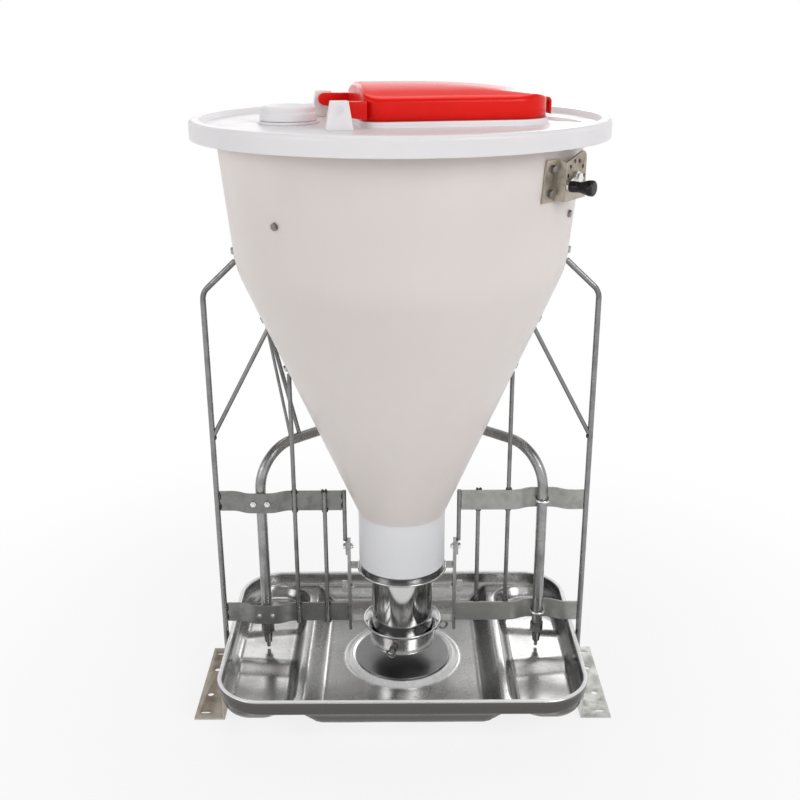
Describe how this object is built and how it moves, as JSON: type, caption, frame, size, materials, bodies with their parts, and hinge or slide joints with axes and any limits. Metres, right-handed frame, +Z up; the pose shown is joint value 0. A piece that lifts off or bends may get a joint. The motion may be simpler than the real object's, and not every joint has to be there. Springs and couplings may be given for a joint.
{
  "type": "pig feeder",
  "caption": "Wet and dry pig feeder: plastic cone hopper with a red hatch over a pressed steel trough, on a welded rod frame with a lever-set feed valve and drinking nipples.",
  "frame": {"origin": "on the floor under the hopper's axis", "axes": "+Z up along the hopper's axis, -Y towards the front, +X to the setting lever's side"},
  "size_m": [0.684, 0.5999, 0.9974],
  "materials": {
    "hopper_plastic": "moulded translucent polyethylene, warm white",
    "lid_plastic": "moulded polyethylene, cool white",
    "hatch_plastic": "moulded glossy red",
    "plated_sheet": "warm grey plated sheet",
    "fastener_steel": "dull stainless fasteners",
    "polished_stainless": "polished stainless",
    "pressed_stainless": "pressed stainless sheet, satin",
    "galvanised_steel": "galvanised rod, strip and pipe",
    "grip_plastic": "black moulded grip"
  },
  "bodies": {
    "frame": {"hopper_shell": "hopper_plastic", "hopper_lid": "lid_plastic", "hinge_brackets": "lid_plastic", "fill_port": "lid_plastic", "adjuster_bracket": "plated_sheet", "bracket_bolts": "fastener_steel", "shaft_bush": "polished_stainless", "guide_spider": "polished_stainless", "spider_bolts": "fastener_steel", "neck_ring": "polished_stainless", "ring_tabs": "galvanised_steel", "outlet_collar": "polished_stainless", "collar_tabs": "galvanised_steel", "trough": "pressed_stainless", "spreader_disc": "polished_stainless", "base_bracket_left": "plated_sheet", "base_bracket_right": "galvanised_steel", "trough_bolts": "fastener_steel", "post_left": "galvanised_steel", "post_right": "galvanised_steel", "brace_left": "galvanised_steel", "brace_right": "galvanised_steel", "frame_bolts": "fastener_steel", "upper_strip_left": "galvanised_steel", "upper_strip_right": "galvanised_steel", "lower_strip_left": "galvanised_steel", "lower_strip_right": "galvanised_steel", "outer_rod_left": "galvanised_steel", "outer_rod_right": "galvanised_steel", "middle_rod_left": "galvanised_steel", "middle_rod_right": "galvanised_steel", "inner_rod_left": "galvanised_steel", "inner_rod_right": "galvanised_steel", "hanger_bar_left": "galvanised_steel", "hanger_bar_right": "galvanised_steel", "hanger_bolts": "fastener_steel", "stay_rods": "galvanised_steel", "pipe_left": "galvanised_steel", "pipe_right": "galvanised_steel", "inlet_tee": "galvanised_steel", "u_bolts": "fastener_steel", "u_bolt_nuts": "fastener_steel", "nipple_left": "polished_stainless", "nipple_right": "polished_stainless"},
    "hatch": {"hatch": "hatch_plastic"},
    "port_cap": {"port_cap": "lid_plastic"},
    "sleeve": {"feed_sleeve": "polished_stainless"},
    "lever": {"adjuster_shaft": "polished_stainless", "lever_arm": "polished_stainless"},
    "index_knob": {"lever_grip": "grip_plastic", "index_pin": "polished_stainless"},
    "valve": {"valve_rod": "polished_stainless", "valve_cone": "polished_stainless"},
    "thumbscrew_front": {"thumbscrew_front": "fastener_steel"},
    "thumbscrew_right": {"thumbscrew_right": "fastener_steel"},
    "thumbscrew_left": {"thumbscrew_left": "fastener_steel"},
    "nipple_pin_left": {"nipple_pin_left": "polished_stainless"},
    "nipple_pin_right": {"nipple_pin_right": "polished_stainless"}
  },
  "joints": [
    {"name": "hatch_hinge", "type": "hinge", "parent": "frame", "child": "hatch", "pos_m": [-0.09877, -0.01564, 0.968], "axis": [0.1564, -0.9877, 0], "range_deg": [0, 105]},
    {"name": "port_cap_lift", "type": "slide", "parent": "frame", "child": "port_cap", "axis": [0, 0, 1], "range_m": [0, 0.025]},
    {"name": "sleeve_set", "type": "slide", "parent": "frame", "child": "sleeve", "axis": [0, 0, 1], "range_m": [-0.02, 0.006]},
    {"name": "lever_turn", "type": "hinge", "parent": "frame", "child": "lever", "pos_m": [0.01087, 0.01497, 0.88], "axis": [-0.809, 0.5878, 0], "range_deg": [0, 231]},
    {"name": "index_pull", "type": "slide", "parent": "lever", "child": "index_knob", "axis": [0.809, -0.5878, 0], "range_m": [0, 0.006], "stiffness_N_per_m": 800, "springref_m": -0.004},
    {"name": "valve_lift", "type": "slide", "parent": "frame", "child": "valve", "axis": [0, 0, 1], "range_m": [0, 0.0423]},
    {"name": "thumbscrew_front_turn", "type": "hinge", "parent": "frame", "child": "thumbscrew_front", "pos_m": [-0.01553, -0.05796, 0.094], "axis": [-0.2588, -0.9659, 0], "range_deg": [0, 360]},
    {"name": "thumbscrew_right_turn", "type": "hinge", "parent": "frame", "child": "thumbscrew_right", "pos_m": [0.05796, 0.01553, 0.094], "axis": [0.9659, 0.2588, 0], "range_deg": [0, 360]},
    {"name": "thumbscrew_left_turn", "type": "hinge", "parent": "frame", "child": "thumbscrew_left", "pos_m": [-0.04243, 0.04243, 0.094], "axis": [-0.7071, 0.7071, 0], "range_deg": [0, 360]},
    {"name": "nipple_left_push", "type": "slide", "parent": "frame", "child": "nipple_pin_left", "axis": [0, 0, 1], "range_m": [0, 0.004], "stiffness_N_per_m": 600, "springref_m": -0.005},
    {"name": "nipple_right_push", "type": "slide", "parent": "frame", "child": "nipple_pin_right", "axis": [0, 0, 1], "range_m": [0, 0.004], "stiffness_N_per_m": 600, "springref_m": -0.005}
  ],
  "couplings": [
    {"joint": "lever_turn", "follows": "valve_lift", "rad_per_m": 95.238}
  ]
}
